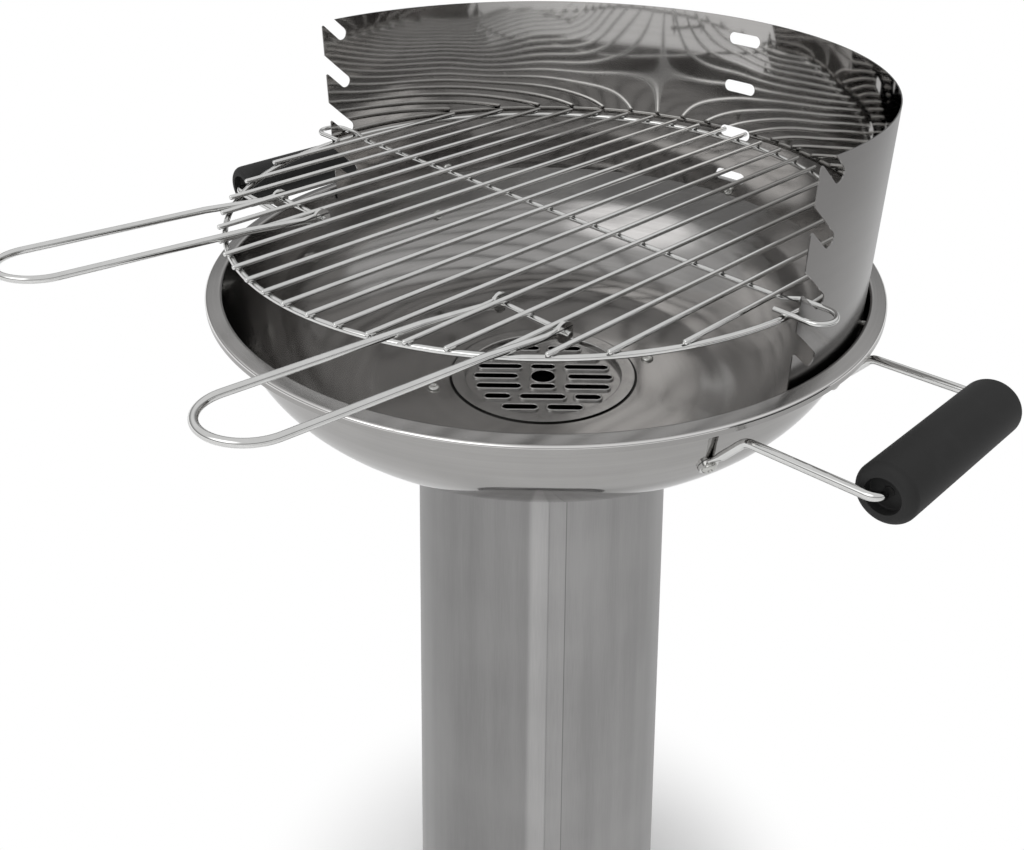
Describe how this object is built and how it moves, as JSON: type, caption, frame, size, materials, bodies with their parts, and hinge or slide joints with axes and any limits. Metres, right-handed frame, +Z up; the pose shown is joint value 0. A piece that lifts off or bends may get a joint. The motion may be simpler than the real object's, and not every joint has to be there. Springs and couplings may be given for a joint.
{
  "type": "charcoal grill on a round column",
  "caption": "Charcoal grill with a round bowl on a column foot, a notched curved windshield, a hooked wire cooking grid with folding handles and a handle at each side.",
  "frame": {"origin": "centre of the base, on the ground under the column", "axes": "+Z up, -Y to the front, where the folding handles of the cooking grid are, +Y to the middle of the windshield, X along the line of the side handles"},
  "size_m": [0.671, 0.5887, 0.978],
  "materials": {
    "base_steel": "satin stainless sheet",
    "column_steel": "brushed stainless sheet",
    "bowl_steel": "bright rolled stainless sheet",
    "plate_steel": "satin pressed steel",
    "shield_steel": "bright rolled stainless sheet",
    "grid_wire": "chromed steel wire",
    "handle_wire": "chromed steel wire",
    "grip_plastic": "matt black moulded plastic",
    "fastener_steel": "zinc plated steel"
  },
  "bodies": {
    "stand": {"base_dish": "base_steel", "base_brackets": "fastener_steel", "base_screws": "fastener_steel", "base_nuts": "fastener_steel", "column_foot_screws": "fastener_steel", "column_foot_nuts": "fastener_steel", "column_tube": "column_steel", "column_brackets": "fastener_steel", "column_top_screws": "fastener_steel", "column_top_nuts": "fastener_steel", "fire_bowl": "bowl_steel", "bowl_screws": "fastener_steel", "bowl_nuts": "fastener_steel", "windshield": "shield_steel", "windshield_screws": "fastener_steel", "windshield_nuts": "fastener_steel", "side_wire_right": "handle_wire", "side_wire_left": "handle_wire", "side_screws": "fastener_steel", "side_nuts": "fastener_steel"},
    "cooking_grid": {"grid_ring": "grid_wire", "grid_rods": "grid_wire", "grid_crossbar": "grid_wire", "grid_hinge_wires": "grid_wire"},
    "grid_handle_right": {"grid_handle_right": "grid_wire"},
    "grid_handle_left": {"grid_handle_left": "grid_wire"},
    "charcoal_plate": {"charcoal_plate": "plate_steel"},
    "side_grip_right": {"side_grip_right": "grip_plastic"},
    "side_grip_left": {"side_grip_left": "grip_plastic"}
  },
  "joints": [
    {"name": "grid_lift_out", "type": "slide", "parent": "stand", "child": "cooking_grid", "axis": [0, -0.7314, 0.682], "range_m": [0, 0.12]},
    {"name": "grid_handle_right_fold", "type": "hinge", "parent": "cooking_grid", "child": "grid_handle_right", "pos_m": [0.1177, -0.13069, 0.8821], "axis": [-1, 0, 0], "range_deg": [0, 165]},
    {"name": "grid_handle_left_fold", "type": "hinge", "parent": "cooking_grid", "child": "grid_handle_left", "pos_m": [-0.1177, -0.13069, 0.8821], "axis": [-1, 0, 0], "range_deg": [0, 165]},
    {"name": "charcoal_plate_lift", "type": "slide", "parent": "stand", "child": "charcoal_plate", "axis": [0, 0, 1], "range_m": [0, 0.05]},
    {"name": "side_grip_right_turn", "type": "hinge", "parent": "stand", "child": "side_grip_right", "pos_m": [0.317, 0, 0.826], "axis": [0, 1, 0], "continuous": true},
    {"name": "side_grip_left_turn", "type": "hinge", "parent": "stand", "child": "side_grip_left", "pos_m": [-0.317, 0, 0.826], "axis": [0, 1, 0], "continuous": true}
  ]
}
